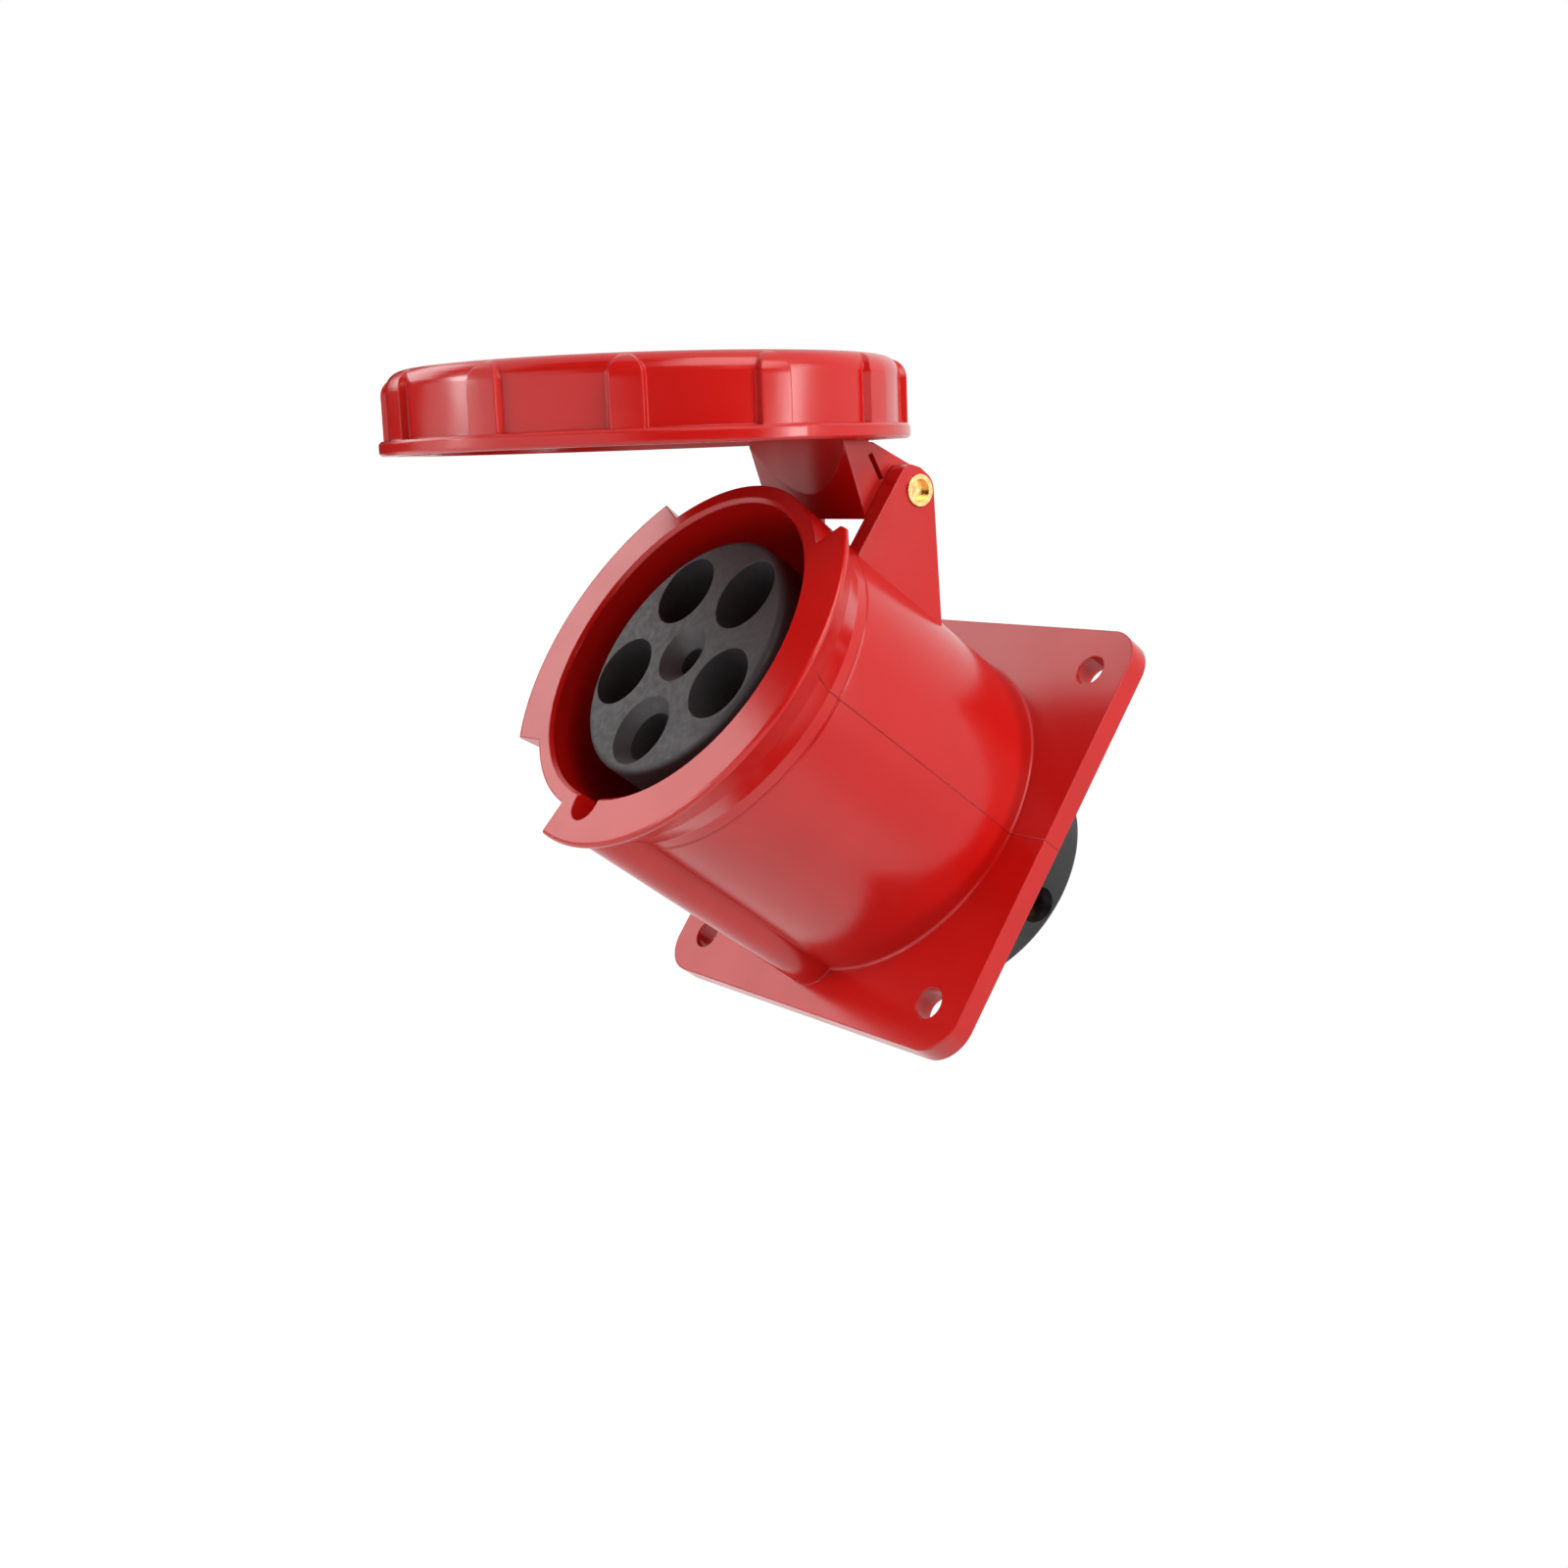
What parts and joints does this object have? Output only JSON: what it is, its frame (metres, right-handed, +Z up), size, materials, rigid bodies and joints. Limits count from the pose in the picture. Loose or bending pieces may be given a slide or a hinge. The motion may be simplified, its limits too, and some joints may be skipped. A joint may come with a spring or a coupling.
{
  "type": "industrial panel socket",
  "caption": "Square-flanged red industrial socket for a panel: round collar with recessed shrouded contacts, a keyway below, and a hinged lid drawn shut by a ribbed bayonet ring.",
  "frame": {"origin": "centre of the square flange's back face, on the socket's axis", "axes": "+Y along the axis into the panel, +Z up towards the hinge, +X to the right seen from the front"},
  "size_m": [0.1052, 0.1787, 0.122],
  "materials": {
    "red_plastic": "gloss",
    "dark_plastic": "satin",
    "brass": "satin",
    "steel": "satin",
    "rubber": "matte"
  },
  "bodies": {
    "socket": {"housing": "red_plastic", "contact_carrier": "dark_plastic", "terminal_block": "dark_plastic", "contact_l1": "brass", "contact_l2": "brass", "contact_l3": "brass", "contact_neutral": "brass", "contact_earth": "brass", "contact_pilot": "brass", "contact_springs": "steel", "terminal_screws": "steel", "block_screws": "steel", "carrier_screws": "steel", "carrier_seal": "rubber", "panel_seal": "rubber", "hinge_pin": "brass"},
    "lid": {"lid_cover": "red_plastic", "lid_gasket": "rubber"},
    "ring": {"bayonet_ring": "red_plastic", "retaining_ring": "steel"}
  },
  "joints": [
    {"name": "lid_hinge", "type": "hinge", "parent": "socket", "child": "lid", "pos_m": [0, -0.0532, 0.0533], "axis": [-1, 0, 0], "range_deg": [-53.2, 126.8]},
    {"name": "ring_turn", "type": "hinge", "parent": "lid", "child": "ring", "pos_m": [0, -0.10229, 0.02994], "axis": [0, 0.599, -0.8007], "range_deg": [0, 36]}
  ]
}
